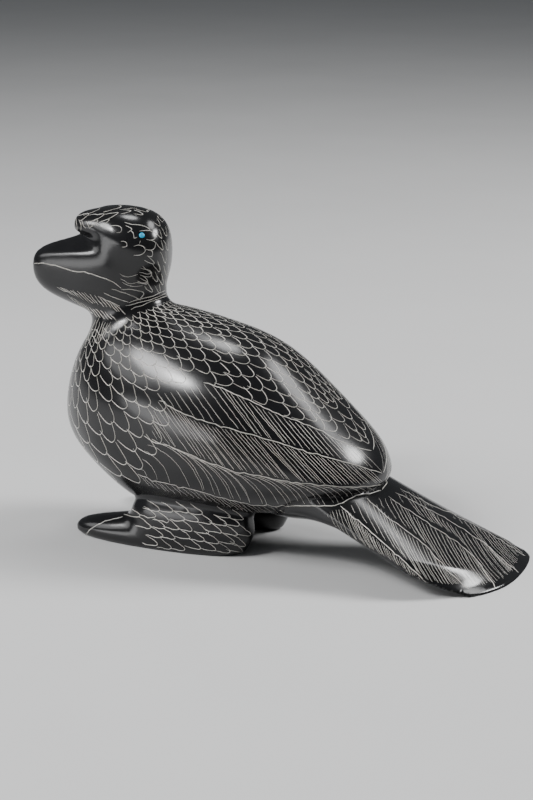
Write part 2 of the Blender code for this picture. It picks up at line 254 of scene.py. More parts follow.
# Each lamp's place, the two widths of its face and its power
LAMPS = (
    ("key", (-0.64, -0.72, 0.95), (0.62, 0.42), 13.0),
    ("key_core", (-0.50, -0.82, 0.96), (0.18, 0.14), 4.0),
    ("rear", (0.78, 0.56, 0.72), (0.42, 0.30), 11.0),
    ("back", (0.45, 0.56, 1.00), (0.5, 0.34), 4.0),
    ("front", (-0.80, -1.38, 0.20), (1.3, 0.36), 5.5),
    ("side", (-1.0, -0.62, 0.70), (0.8, 0.5), 3.0),
    ("top", (-0.25, 0.45, 1.6), (0.4, 0.35), 5.0),
)
LAMPS_AIM = (0, 0, 0.05)
AIR_COLOUR, AIR_STRENGTH = (0.9, 0.95, 1.0, 1.0), 0.12

rng = np.random.default_rng(11)


class CarvingLooks(bpy.types.PropertyGroup):
    """Sizes and colours of the carving."""

    skin_step: FloatProperty(
        name="Skin step", description="Spacing of the stone's skin before it is thinned",
        default=0.0011, min=0.0008, max=0.003, unit="LENGTH")
    skin_triangles: IntProperty(
        name="Skin triangles", description="The plain skin is thinned to about this many",
        default=20000, min=6000, max=60000)
    line_width: FloatProperty(
        name="Line width", description="Width of a scratched line at the stone's face",
        default=0.0005, min=0.0002, max=0.0008, unit="LENGTH")
    line_depth: FloatProperty(
        name="Line depth", description="Depth of a scratched line",
        default=0.00014, min=0.00005, max=0.0004, unit="LENGTH")
    shaft_size: FloatProperty(
        name="Shaft size", description="How much heavier a feather's shaft is than a barb",
        default=1.3, min=1.0, max=3.0)
    barb_size: FloatProperty(
        name="Barb size", description="How much finer a barb is than a small feather's line",
        default=0.6, min=0.4, max=1.5)
    feather_columns: IntProperty(
        name="Feather columns", description="Small feathers side by side round the body",
        default=33, min=24, max=90)
    barb_spacing: FloatProperty(
        name="Barb spacing", description="Room along a shaft from one barb to the next",
        default=0.0019, min=0.0012, max=0.006, unit="LENGTH")
    stone_colour: FloatVectorProperty(
        name="Stone", description="Colour of the polished marble", subtype="COLOR", size=3,
        default=(0.0045, 0.0045, 0.005), min=0.0, max=1.0)
    line_colour: FloatVectorProperty(
        name="Scratched line", description="Colour of the bare stone in the lines",
        subtype="COLOR", size=3, default=(0.92, 0.90, 0.86), min=0.0, max=1.0)
    inlay_colour: FloatVectorProperty(
        name="Turquoise", description="Colour of the eyes", subtype="COLOR", size=3,
        default=(0.001, 0.42, 0.72), min=0.0, max=1.0)
    floor_colour: FloatVectorProperty(
        name="Floor", description="Colour of the floor", subtype="COLOR", size=3,
        default=(0.62, 0.62, 0.62), min=0.0, max=1.0)


def spline(places, values, at):
    """A smooth curve through the stations, read at the places asked for."""
    order = np.argsort(places)
    x, y = np.asarray(places, float)[order], np.asarray(values, float)[order]
    gap = np.diff(x)
    system = np.eye(len(x))
    load = np.zeros(len(x))
    for i in range(1, len(x) - 1):
        system[i, i - 1:i + 2] = gap[i - 1], 2 * (gap[i - 1] + gap[i]), gap[i]
        load[i] = 3 * ((y[i + 1] - y[i]) / gap[i] - (y[i] - y[i - 1]) / gap[i - 1])
    bend = np.linalg.solve(system, load)
    at = np.clip(at, x[0], x[-1])
    i = np.clip(np.searchsorted(x, at) - 1, 0, len(x) - 2)
    step = at - x[i]
    slope = (y[i + 1] - y[i]) / gap[i] - gap[i] * (2 * bend[i] + bend[i + 1]) / 3
    return y[i] + step * (slope + step * (bend[i] + step * (bend[i + 1] - bend[i]) / (3 * gap[i])))


def eased(share):
    """0 to 1, with a soft start and end."""
    share = np.clip(share, 0, 1)
    return share * share * (3 - 2 * share)


def join(one, other, fillet):
    """Two fields run together, with a fillet of about this size between them."""
    near = np.maximum(fillet - np.abs(one - other), 0) / fillet
    return np.minimum(one, other) - near * near * fillet / 4


def trim(one, other, rounding):
    """What lies in both fields, with the edge between them rounded."""
    return -join(-one, -other, rounding)


def mass(along, across, height, stations, bluntness=2.0):
    """A long rounded mass. A bluntness over 2 gives it fuller ends."""
    place, axis, side, above, below = zip(*stations)
    middle, half = (place[0] + place[-1]) / 2, abs(place[-1] - place[0]) / 2
    rise = height - spline(place, axis, along)
    side = spline(place, side, along)
    above, below = spline(place, above, along), spline(place, below, along)
    upper = 0.5 + 0.5 * np.tanh(rise / (0.18 * (above + below)))
    deep = below + (above - below) * upper
    t = np.abs(along - middle) / half
    r = np.sqrt((across / side) ** 2 + (rise / deep) ** 2) + 1e-9
    size = (t**bluntness + r**bluntness) ** (1 / bluntness) + 1e-9
    pull_t = (t / size) ** (bluntness - 1) / half
    pull_r = (r / size) ** (bluntness - 1) / r
    steep = np.sqrt(pull_t**2 + (pull_r * across / side**2) ** 2 + (pull_r * rise / deep**2) ** 2)
    return (size - 1) / (steep + 1e-3)


def head_axes(x, y):
    """Places ahead of the neck's axis and to the bird's left of it, with the head turned."""
    turn = math.radians(HEAD_TURN)
    dx = x - HEAD_AT
    return -dx * math.cos(turn) - y * math.sin(turn), dx * math.sin(turn) - y * math.cos(turn)


def head(x, y, z):
    ahead, left = head_axes(x, y)
    bill = mass(ahead, left, z, BILL, 2.5)
    place, height, out, fall = zip(*FACET)
    height, out, fall = (spline(place, column, ahead) for column in (height, out, fall))
    roof = (z - height - fall * (out - np.sqrt(left**2 + 1.4))) / np.sqrt(1 + fall**2)
    bill = trim(bill, roof, FACET_EDGE)
    crown = mass(ahead, left, z, CROWN, 3.0)
    neck = mass(ahead, left, z, NECK, 2.4)
    brow_fillet = CREST_FILLET + BROW_FILLET * eased((BROW_FROM - ahead) / BROW_RUN)
    return join(join(bill, crown, brow_fillet), neck, NECK_FILLET)


def tail(x, y, z):
    turn = math.radians(-TAIL_TURN)
    dx = x - TAIL_AT
    back = dx * math.cos(turn) - y * math.sin(turn)
    out = dx * math.sin(turn) + y * math.cos(turn)
    half = TAIL_HALF + TAIL_FLARE * back
    share = np.abs(out) / half
    top_droop, base_lift = (first + change * back for first, change in (TOP_DROOP, BASE_LIFT))
    top = TAIL_TOP - TOP_FALL * back - top_droop * share**3
    base = TAIL_BASE - BASE_FALL * np.maximum(back, 0.3 * back) + base_lift * share**2
    end_back, end_out, end_radius = TAIL_ROUND
    end = np.sqrt((back - end_back) ** 2 + (0.95 * (out - end_out)) ** 2) - end_radius
    thin = eased(1 + end / TAIL_THINNING)
    top = np.where(top > TAIL_RIM, TAIL_RIM + (top - TAIL_RIM) * (1 - thin), top)
    slab = trim(z - top, base - z, 1.5) * 0.86
    corners = trim(np.abs(out) - half, end, TAIL_CORNER)
    return trim(trim(slab, corners, TAIL_EDGE), -TAIL_ROOT - back, TAIL_CORNER)


def legs(x, y, z):
    share = np.clip((x - FOOT_FRONT) / (FOOT_HEEL - FOOT_FRONT), -0.2, 1.2)
    out = np.abs(y) - (FOOT_OUT_FRONT + (FOOT_OUT_HEEL - FOOT_OUT_FRONT) * share)
    foot = mass(x, out, z, FOOT, 2.4)
    haunch = mass(x, out, z, HAUNCH, 2.7)
    return join(foot, haunch, LEG_FILLET)


def in_units(points):
    """The three columns of points in metres, in the form's own units."""
    x, y, z = (np.asarray(points, float) / UNIT).T
    return x + MIDDLE, y, z


def stone(points):
    """The whole carving's field at points given in metres, in metres."""
    x, y, z = in_units(points)
    bird = join(mass(x, y, z, BODY), head(x, y, z), THROAT_FILLET)
    under = eased((UNDER_FROM - z) / UNDER_RUN)
    bird = join(bird, tail(x, y, z), WING_FILLET + RUMP_FILLET * under)
    return join(bird, legs(x, y, z), LEG_FILLET) * UNIT


def body_alone(points):
    return mass(*in_units(points), BODY) * UNIT


def head_alone(points):
    x, y, z = in_units(points)
    return head(x, y, z) * UNIT


def slope(field, points):
    """The way the field grows at each point."""
    step = 2e-5
    return np.stack([(field(points + step * axis) - field(points - step * axis)) / (2 * step)
                     for axis in np.eye(3)], axis=1)


def facing(points):
    """The way the stone faces at each point."""
    way = slope(stone, points)
    return way / (np.linalg.norm(way, axis=1)[:, None] + 1e-12)


def settle(field, points, reach, rounds=8):
    """The points moved onto the field's surface."""
    for _ in range(rounds):
        rise = slope(field, points)
        move = rise * (field(points) / ((rise**2).sum(1) + 1e-6))[:, None]
        far = np.linalg.norm(move, axis=1)[:, None]
        points = points - move * np.minimum(1, reach / np.maximum(far, 1e-12))
    return points


def untangle(value):
    """Parts the places where two corners of the grid would touch across a face."""
    for axis in (0, 1, 2) * 3:
        flat = np.moveaxis(value, axis, 0)
        a, b, c, d = flat[:, :-1, :-1], flat[:, 1:, :-1], flat[:, 1:, 1:], flat[:, :-1, 1:]
        a[(a < 0) & (c < 0) & (b >= 0) & (d >= 0)] = 1e-9
        b[(b < 0) & (d < 0) & (a >= 0) & (c >= 0)] = 1e-9


def skin(field, low, high, step):
    """A closed skin of four-sided faces on the field's surface."""
    axes = [np.arange(a, b + step, step) for a, b in zip(low, high)]
    count = np.array([len(a) for a in axes])
    grid = np.stack(np.meshgrid(*axes, indexing="ij"), axis=-1)
    value = np.concatenate([field(layer.reshape(-1, 3)) for layer in grid]).reshape(count)
    untangle(value)
    inside = value < 0
    total = np.zeros(tuple(count - 1) + (3,))
    hits = np.zeros(count - 1)
    faces = []
    for axis in range(3):
        first = [slice(None)] * 3
        second = [slice(None)] * 3
        first[axis], second[axis] = slice(0, -1), slice(1, None)
        first, second = tuple(first), tuple(second)
        crossed = np.argwhere(inside[first] != inside[second])
        a, b = value[first][tuple(crossed.T)], value[second][tuple(crossed.T)]
        where = grid[first][tuple(crossed.T)].copy()
        where[:, axis] += step * a / (a - b)
        side, other = (axis + 1) % 3, (axis + 2) % 3
        ring = []
        for shift_side, shift_other in ((0, 0), (-1, 0), (-1, -1), (0, -1)):
            cell = crossed.copy()
            cell[:, side] += shift_side
            cell[:, other] += shift_other
            np.add.at(total, tuple(cell.T), where)
            np.add.at(hits, tuple(cell.T), 1)
            ring.append(np.ravel_multi_index(cell.T, count - 1))
        ring = np.stack(ring, axis=1)
        ring[a > 0] = ring[a > 0][:, ::-1]
        faces.append(ring)
    used = np.flatnonzero(hits.ravel())
    points = total.reshape(-1, 3)[used] / hits.ravel()[used, None]
    return settle(field, points, step / 2), np.searchsorted(used, np.concatenate(faces))


def sight_axes():
    side = np.cross(SIGHT, (0, 0, 1))
    side /= np.linalg.norm(side)
    return side, np.cross(side, SIGHT)


def on_sheet(points):
    """Where points of the bird are on the drawing."""
    side, up = sight_axes()
    from_eye = points - EYE_POINT
    far = from_eye @ SIGHT
    return np.stack((SHEET[0] / 2 + FOCAL * (from_eye @ side) / far,
                     SHEET[1] / 2 - FOCAL * (from_eye @ up) / far), axis=1)


def cast(drawn):
    """Where places on the drawing fall on the stone, and whether they do."""
    side, up = sight_axes()
    across = (drawn[:, :1] - SHEET[0] / 2) / FOCAL
    down = (drawn[:, 1:] - SHEET[1] / 2) / FOCAL
    way = SIGHT + across * side - down * up
    way /= np.linalg.norm(way, axis=1)[:, None]
    reach = np.full(len(drawn), 0.5)
    for _ in range(90):
        reach += np.clip(0.7 * stone(EYE_POINT + way * reach[:, None]), -0.001, 0.008)
    points = EYE_POINT + way * reach[:, None]
    return points, np.abs(stone(points)) < ON_STONE


def within(polygon, places):
    """Which of the places on the drawing lie inside the polygon."""
    corner = np.asarray(polygon, float)
    x, y = places[:, 0], places[:, 1]
    odd = np.zeros(len(places), bool)
    for (ax, ay), (bx, by) in zip(corner, np.roll(corner, -1, axis=0)):
        crosses = (ay > y) != (by > y)
        with np.errstate(divide="ignore", invalid="ignore"):
            odd ^= crosses & (x < (bx - ax) * (y - ay) / (by - ay) + ax)
    return odd


def mirrored(points, about_head=False):
    """The points on the bird's other side."""
    if not about_head:
        return points * (1, -1, 1)
    turn = math.radians(HEAD_TURN)
    left = np.array([math.sin(turn), -math.cos(turn), 0.0])
    middle = np.array([(HEAD_AT - MIDDLE) * UNIT, 0, 0])
    return points - 2 * ((points - middle) @ left)[:, None] * left


def to_left(points, about_head=False):
    """How far each point is to the left of the bird's middle, or of its head's."""
    if not about_head:
        return -points[:, 1]
    x, y, _ = in_units(points)
    return head_axes(x, y)[1] * UNIT


def along(line, spacing):
    """A line run through its places again, evenly, with round bends."""
    line = np.asarray(line, float)
    run = np.concatenate(([0], np.cumsum(np.linalg.norm(np.diff(line, axis=0), axis=1))))
    count = max(3, int(run[-1] / spacing) + 1)
    at = np.linspace(0, run[-1], count)
    if len(line) < 3:
        return np.stack([np.interp(at, run, column) for column in line.T], axis=1)
    return np.stack([spline(run, column, at) for column in line.T], axis=1)


def unsteady(line, amount):
    """The line as a hand draws it, a little off its course."""
    count = max(2, len(line) // 4 + 2)
    knots = rng.normal(0, amount, (count, line.shape[1]))
    at = np.linspace(0, count - 1, len(line))
    drift = np.stack([np.interp(at, np.arange(count), column) for column in knots.T], axis=1)
    return line + drift


def loop(tip, way, length, width, roundness=2.2):
    """A small feather's outline on the drawing: open at its root, round at its tip."""
    t = np.linspace(-1, 1, 11)
    back = length * (1 - np.abs(t) ** roundness)
    out = np.sign(t) * np.abs(t) ** 0.9 * width / 2
    way = np.asarray(way, float)
    across = np.array([-way[1], way[0]])
    return np.asarray(tip) - way * length + back[:, None] * way + out[:, None] * across


def barbs(upper, lower, spacing, steep, gaps, bend, until):
    """Barbs from one shaft to the next, as lines on the drawing. steep gives the first and
    last barb's slant in degrees, gaps the room left at a barb's root and tip, bend how far
    the barbs curve, and until the share of the shaft that carries them."""
    upper, lower = along(upper, 0.5), along(lower, 0.5)
    run = np.concatenate(([0], np.cumsum(np.linalg.norm(np.diff(upper, axis=0), axis=1))))
    lines = []
    at = 0.0
    while at < run[-1] * until:
        part = at / run[-1]
        root = np.array([np.interp(at, run, column) for column in upper.T])
        angle = math.radians(steep[0] + (steep[1] - steep[0]) * part + rng.normal(0, 1.2))
        way = np.array([math.cos(angle), math.sin(angle)])
        reach = (lower - root) @ way
        off = np.abs((lower - root) @ np.array([-way[1], way[0]]))
        ahead = (reach > 2) & (off < 1.0)
        if ahead.any():
            full = reach[ahead].min()
            start = gaps[0] + abs(rng.normal(0, 0.8))
            stop = full - gaps[1] - abs(rng.normal(0, 1.2))
            if stop - start > 2.5:
                t = np.linspace(0, 1, 7)[:, None]
                across = np.array([way[1], -way[0]])
                lines.append(root + way * (start + (stop - start) * t)
                             + across * bend * (t * (1 - t) * 2) * (stop - start))
        at += spacing * rng.uniform(0.8, 1.2)
    return lines


def field_of_loops(polygon, angle, length, width, roundness=2.2):
    """Rows of small feathers that fill part of the drawing."""
    way = np.array([math.cos(math.radians(angle)), math.sin(math.radians(angle))])
    across = np.array([-way[1], way[0]])
    corner = np.asarray(polygon, float)
    middle = corner.mean(0)
    half = np.linalg.norm(corner - middle, axis=1).max()
    lines = []
    for i in range(-int(half / length) - 1, int(half / length) + 2):
        for j in range(-int(half / width) - 1, int(half / width) + 2):
            tip = middle + way * length * i + across * width * (j + 0.5 * (i % 2))
            tip = tip + rng.normal(0, 0.08 * width, 2)
            if within(polygon, (tip - way * length * 0.4)[None])[0]:
                grow = rng.uniform(1.0, 1.2)
                lines.append(loop(tip, way, length * grow, width * 0.94, roundness))
    return lines


def across_lines(start, end, count):
    """Lines from one row of places to another."""
    t = np.linspace(0, 1, count)
    start, end = along(start, 0.5), along(end, 0.5)
    lines = []
    for part in t:
        a = np.array([np.interp(part, np.linspace(0, 1, len(start)), c) for c in start.T])
        b = np.array([np.interp(part, np.linspace(0, 1, len(end)), c) for c in end.T])
        lines.append(a + (b - a) * np.linspace(rng.uniform(0, 0.2), rng.uniform(0.85, 1.1), 6)[:, None])
    return lines


class Feathers:
    """Gathers the strokes of the feather pattern as lines on the stone."""

    def __init__(self):
        self.drawn = []
        self.lines = []

    def draw(self, lines, size=1.0, wobble=0.35, mirror="body"):
        """Strokes on the drawing. mirror is body, head or none."""
        for line in lines:
            self.drawn.append((unsteady(along(line, 1.2), wobble), size, mirror))

    def lay(self, points, size=1.0):
        """A stroke given by points near the stone."""
        self.lines.append((points, size))

    def finish(self):
        """Casts the drawing on the stone and returns every stroke."""
        places = np.concatenate([line for line, _, _ in self.drawn])
        points, hit = cast(places)
        start = 0
        for line, size, mirror in self.drawn:
            part = slice(start, start + len(line))
            start += len(line)
            keep = hit[part].copy()
            if mirror != "none":
                keep &= to_left(points[part], mirror == "head") > MIDDLE_FREE
            for run in runs(keep):
                piece = points[part][run]
                if len(piece) < 3:
                    continue
                self.lines.append((piece, size))
                if mirror != "none":
                    self.lines.append((mirrored(piece, mirror == "head"), size))
        return self.lines


def runs(keep):
    """The unbroken stretches of a mask, as slices."""
    edge = np.flatnonzero(np.diff(np.concatenate(([0], keep.astype(int), [0]))))
    return [slice(a, b) for a, b in zip(edge[::2], edge[1::2])]


def thinned(points):
    """The fewest of a line's points that keep its course."""
    keep = np.zeros(len(points), bool)
    keep[[0, -1]] = True
    stack = [(0, len(points) - 1)]
    while stack:
        a, b = stack.pop()
        if b - a < 2:
            continue
        chord = points[b] - points[a]
        span = np.linalg.norm(chord) + 1e-12
        from_a = points[a + 1:b] - points[a]
        off = np.linalg.norm(from_a - np.outer(from_a @ chord / span**2, chord), axis=1)
        worst = int(np.argmax(off))
        if off[worst] > OFF_COURSE or span > LONGEST_EDGE:
            middle = a + 1 + worst if off[worst] > OFF_COURSE else (a + b) // 2
            keep[middle] = True
            stack += [(a, middle), (middle, b)]
    return points[keep]


class Chart:
    """Places round a centre, in rows and columns that run from one pole to the other."""

    def __init__(self, centre, first, last, field):
        self.centre = np.asarray(centre, float)
        self.field = field
        self.last = np.asarray(last, float) / np.linalg.norm(last)
        first = np.asarray(first, float) / np.linalg.norm(first)
        up = first - (first @ self.last) * self.last
        self.up = up / np.linalg.norm(up)
        self.side = np.cross(self.last, self.up)
        self.shift = (first @ self.up) / (1 - first @ self.last)

    def places(self, row, turn):
        """Points on the field's surface. row grows from the first pole to the last."""
        one = np.exp(row) * np.cos(turn) + self.shift
        two = np.exp(row) * np.sin(turn)
        size = one**2 + two**2
        way = (2 * one[:, None] * self.up + 2 * two[:, None] * self.side
               + (size - 1)[:, None] * self.last) / (1 + size)[:, None]
        near, far = np.zeros(len(way)), np.full(len(way), 0.11)
        for _ in range(32):
            half = (near + far) / 2
            inside = self.field(self.centre + way * half[:, None]) < 0
            near, far = np.where(inside, half, near), np.where(inside, far, half)
        return self.centre + way * near[:, None]


def small_feathers(chart, columns, rows, roundness, wanted, pattern):
    """Scales of small feathers over a chart, kept where wanted says so."""
    row_step = rows[2]
    rows = np.arange(*rows)
    turn_step = 2 * math.pi / columns
    t = np.linspace(-1, 1, 11)
    outlines = []
    for i in range(len(rows)):
        for j in range(columns):
            grow = rng.uniform(0.88, 1.16)
            lean = rng.normal(0, 0.08)
            width = rng.uniform(0.84, 1.0)
            start = rng.normal(0.0, 0.07)
            row = rows[i] + row_step * (start + grow * (1 - np.abs(t) ** roundness))
            middle = (j + 0.5 * (i % 2) + rng.normal(0, 0.07)) * turn_step
            out = np.sign(t) * np.abs(t) ** 0.75 * width / 2 + lean * (1 - np.abs(t))
            out = out + np.interp(t, (-1, -0.5, 0, 0.5, 1), rng.normal(0, 0.03, 5))
            outlines.append(np.stack((row, middle + out * turn_step), axis=1))
    flat = np.concatenate(outlines)
    points = chart.places(flat[:, 0], flat[:, 1])
    outside = stone(points) > -BURIED
    good = wanted(points) & outside
    for k in range(len(outlines)):
        part = slice(k * len(t), (k + 1) * len(t))
        if good[part][len(t) // 2]:
            for run in runs(good[part]):
                if run.stop - run.start > 3:
                    pattern.lay(along(points[part][run], 0.0004))


def own_side(points):
    """Places on the drawing of points, with those on the right taken over to the left."""
    return on_sheet(np.where(points[:, 1:2] > 0, mirrored(points), points))


def body_feathers_wanted(points):
    sheet = own_side(points)
    x, _, z = in_units(points)
    belly = (z < PLAIN_BELOW) | ((z < RUMP_BELOW) & (x > RUMP_BEHIND))
    under_tips = (sheet[:, 1] > TIPS_UNDER) & (x > TIPS_BEHIND)
    return ~within(WING, sheet) & ~(belly | under_tips)


def nape_feathers_wanted(points):
    x, y, z = in_units(points)
    ahead, left = head_axes(x, y)
    near = np.where(left[:, None] < 0, mirrored(points, True), points)
    sight = EYE_POINT - near
    seen = (facing(near) * sight).sum(1) > SEEN * np.linalg.norm(sight, axis=1)
    on_nape = (ahead < -NAPE_BEHIND) & (np.abs(left) < NAPE_HALF)
    return on_nape & (z > NAPE_LOW) & (z < NAPE_HIGH) & ~seen


def draw_feathers(looks):
    """Every stroke of the pattern."""
    pattern = Feathers()
    shaft, barb = looks.shaft_size, looks.barb_size
    spacing = looks.barb_spacing / PIXEL
    pattern.draw(WING_SHAFTS, shaft, 0.5)
    _, second, third, fourth = WING_SHAFTS

    def barbed(upper, lower, room, slant, gaps, bend, wobble, until=1.0, mirror="body"):
        strip = barbs(upper, lower, spacing * room, slant, gaps, bend, until)
        pattern.draw(strip, barb, wobble, mirror)

    barbed(WING_BARBS_FROM, second, 1.25, (56, 44), (1.5, 1.5), 0.0, 0.18, 0.94)
    barbed((third[0], *second), third, 0.9, (58, 40), (1.5, 1.5), 0.0, 0.18, 0.94)
    barbed((fourth[0], *third), fourth, 1.55, (52, 26), (2.0, 1.0), 0.25, 0.2, 0.95)
    below = [(u, v + EDGE_BARB_RUN) for u, v in fourth[:6]]
    barbed(fourth[:6], below, 1.0, (46, 30), (0.5, 0.5), 0.0, 0.35)
    pattern.draw(TAIL_SHAFTS, shaft, 0.5, "none")
    for lower, upper, slant in zip(TAIL_SHAFTS, TAIL_SHAFTS[1:], TAIL_SLANTS):
        barbed((lower[0], *upper), (*lower, upper[-1]), 1.0, slant, (2.0, 5.5), -0.06, 0.2, 1.0, "none")
    near, far = TAIL_SHAFTS[0], TAIL_SHAFTS[-1]
    barbed((TAIL_NEAR[0], *near), (*TAIL_NEAR, near[-1]), 0.6, (68, 60), (3.0, 0.5), -0.08, 0.2, 1.0,
           "none")
    barbed((far[0], *TAIL_FAR), far, 1.4, (40, 40), (0.5, 0.5), 0.0, 0.2, 1.0, "none")
    pattern.draw(field_of_loops(LEG, 24, 13.5, 9.5, 1.9))
    pattern.draw([TOE], shaft, 0.4)
    pattern.draw([MOUTH], shaft, 0.6, "head")
    pattern.draw(FACE, 1.0, 0.25, "head")
    pattern.draw(CREST_STROKES, 1.0, 0.4, "head")
    for u, v, angle, length, width in CREST_FEATHERS + NAPE_FEATHERS:
        way = (math.cos(math.radians(angle)), math.sin(math.radians(angle)))
        pattern.draw([loop((u, v), way, length, width, 1.7)], 1.0, 0.3, "head")
    for start, end, count in ((THROAT_FROM, THROAT_TO, 15), (JAW_FROM, JAW_TO, 12), (NECK_FROM, NECK_TO, 9)):
        pattern.draw(across_lines(start, end, count), 1.0, 0.3, "head")
    x, y, z = BODY_CENTRE
    body = Chart(((x - MIDDLE) * UNIT, y, z * UNIT), BREAST_POLE, RUMP_POLE, body_alone)
    for columns, rows, roundness in ((looks.feather_columns, FRONT_ROWS, 2.1),
                                     (looks.feather_columns // 2, REAR_ROWS, 1.9)):
        small_feathers(body, columns, rows, roundness, body_feathers_wanted, pattern)
    turn = math.radians(HEAD_TURN)
    ahead = np.array([-math.cos(turn), -math.sin(turn), 0.0])
    skull = Chart(((HEAD_AT - MIDDLE) * UNIT, 0, HEAD_CENTRE * UNIT), ahead + (0, 0, 0.5),
                  -0.5 * ahead - (0, 0, 1), head_alone)
    small_feathers(skull, NAPE_COLUMNS, NAPE_ROWS, 1.7, nape_feathers_wanted, pattern)
    lines = pattern.finish()
    counts = [len(points) for points, _ in lines]
    settled = settle(stone, np.concatenate([points for points, _ in lines]), 0.0008)
    cuts = np.cumsum(counts)[:-1]
    strokes = []
    for points, (_, size) in zip(np.split(settled, cuts), lines):
        span = np.linalg.norm(np.diff(points, axis=0), axis=1).sum()
        if span > SHORTEST_STROKE:
            strokes.append((thinned(points), size))
    return strokes


def in_sets(strokes, room):
    """The strokes sorted into sets in which no two come near each other."""
    taken = []
    sets = []
    for points, size in strokes:
        dense = np.concatenate([np.linspace(a, b, max(2, int(np.linalg.norm(b - a) / room * 2)))
                                for a, b in zip(points, points[1:])])
        cells = set()
        base = np.floor(dense / room).astype(int)
        for shift in np.ndindex(3, 3, 3):
            cells.update(map(tuple, base + np.array(shift) - 1))
        own = set(map(tuple, base))
        for k, used in enumerate(taken):
            if not (own & used):
                used |= cells
                sets[k].append((points, size))
                break
        else:
            taken.append(cells)
            sets.append([(points, size)])
    return sets


def node(tree, kind, inputs=(), **settings):
    """A node with its settings made and its inputs set or linked."""
    made = tree.nodes.new(kind)
    for name, value in settings.items():
        setattr(made, name, value)
    for name, value in dict(inputs).items():
        if isinstance(value, bpy.types.NodeSocket):
            tree.links.new(value, made.inputs[name])
        else:
            made.inputs[name].default_value = value
    return made


def maths(tree, operation, one, two):
    return node(tree, "ShaderNodeMath", {0: one, 1: two}, operation=operation).outputs[0]


def sockets(tree, given, made):
    """Names the group's inputs and outputs, and returns the inputs as the group sees them."""
    for way, named in (("INPUT", given), ("OUTPUT", made)):
        for name, kind in named:
            tree.interface.new_socket(name, in_out=way, socket_type="NodeSocket" + kind)
    return node(tree, "NodeGroupInput").outputs


def groove_tree():
    """Turns lines into closed wedges that stand on end in the stone."""
    tree = bpy.data.node_groups.new("groove wedges", "GeometryNodeTree")
    given = sockets(tree, (("Lines", "Geometry"), ("Width", "Float"), ("Depth", "Float"),
                           ("Stand", "Float"), ("Finish", "Material")), (("Wedges", "Geometry"),))
    curve = node(tree, "GeometryNodeMeshToCurve", {"Mesh": given["Lines"]})
    way = node(tree, "GeometryNodeInputNamedAttribute", {"Name": "stone_way"}, data_type="FLOAT_VECTOR")
    size = node(tree, "GeometryNodeInputNamedAttribute", {"Name": "line_size"}, data_type="FLOAT")
    lean = node(tree, "GeometryNodeSetCurveNormal",
                {"Curve": curve.outputs[0], "Normal": way.outputs[0]}, mode="FREE")
    outline = node(tree, "GeometryNodeCurvePrimitiveCircle", {"Resolution": 3, "Radius": 1.0},
                   mode="RADIUS")
    tall = maths(tree, "ADD", given["Depth"], given["Stand"])
    rise = maths(tree, "DIVIDE", tall, TRIANGLE_HEIGHT)
    spread = maths(tree, "DIVIDE", tall, given["Depth"])
    wide = maths(tree, "MULTIPLY", maths(tree, "MULTIPLY", given["Width"], SIDE_TO_ONE), spread)
    lift = maths(tree, "ADD", maths(tree, "MULTIPLY", rise, TRIANGLE_BASE), given["Stand"])
    stretch = node(tree, "ShaderNodeCombineXYZ", {0: rise, 1: wide, 2: 1.0})
    move = node(tree, "ShaderNodeCombineXYZ", {1: lift})
    shape = node(tree, "GeometryNodeTransform",
                 {"Geometry": outline.outputs[0], "Scale": stretch.outputs[0],
                  "Rotation": (0.0, 0.0, math.radians(-90)), "Translation": move.outputs[0]})
    sweep = node(tree, "GeometryNodeCurveToMesh",
                 {"Curve": lean.outputs[0], "Profile Curve": shape.outputs[0],
                  "Scale": size.outputs[0], "Fill Caps": True})
    real = node(tree, "GeometryNodeRealizeInstances", {0: sweep.outputs[0]})
    finish = node(tree, "GeometryNodeSetMaterial",
                  {"Geometry": real.outputs[0], "Material": given["Finish"]})
    node(tree, "NodeGroupOutput", {0: finish.outputs[0]})
    return tree


def stroke_mesh(name, strokes):
    """The strokes as lines of edges, in millimetres, with the stone's way at each point."""
    points = np.concatenate([p for p, _ in strokes])
    way = facing(points)
    sizes = []
    edges = []
    start = 0
    for line, size in strokes:
        taper = np.ones(len(line))
        taper[[0, -1]] = STROKE_END
        sizes.append(size * taper)
        edges += [(start + i, start + i + 1) for i in range(len(line) - 1)]
        start += len(line)
    mesh = bpy.data.meshes.new(name)
    mesh.from_pydata((points * 1000).tolist(), edges, [])
    mesh.attributes.new("stone_way", "FLOAT_VECTOR", "POINT").data.foreach_set("vector", way.ravel())
    mesh.attributes.new("line_size", "FLOAT", "POINT").data.foreach_set("value", np.concatenate(sizes))
    return mesh


def plain(thing):
    """The object's finished mesh, with its modifiers worked in."""
    graph = bpy.context.evaluated_depsgraph_get()
    graph.update()
    mesh = bpy.data.meshes.new_from_object(thing.evaluated_get(graph))
    old = thing.data
    thing.modifiers.clear()
    thing.data = mesh
    mesh.name = thing.name
    if old.users == 0:
        bpy.data.meshes.remove(old)
    return mesh


def add(name, mesh, *finishes):
    for finish in finishes:
        mesh.materials.append(finish)
    thing = bpy.data.objects.new(name, mesh)
    bpy.context.scene.collection.objects.link(thing)
    return thing


def shape_mesh(name, make):
    """A mesh from a bmesh that make fills."""
    shape = bmesh.new()
    make(shape)
    mesh = bpy.data.meshes.new(name)
    shape.to_mesh(mesh)
    shape.free()
    return mesh


def cut(thing, cutter):
    modifier = thing.modifiers.new(cutter.name, "BOOLEAN")
    modifier.operation = "DIFFERENCE"
    modifier.solver = "MANIFOLD"
    modifier.material_mode = "TRANSFER"
    modifier.object = cutter


def eye_seats(scale=1):
    """Each eye's name, with the place and turn of its seat, in metres times scale."""
    seats = []
    for name in ("eye_left", "eye_right"):
        low, high = (np.array(corner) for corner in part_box(name))
        place = settle(stone, ((low + high) / 2)[None], 0.002)
        turn = Vector(facing(place)[0]).to_track_quat("Z", "Y").to_matrix().to_4x4()
        seats.append((name, Matrix.Translation(Vector(place[0]) * scale) @ turn))
    return seats


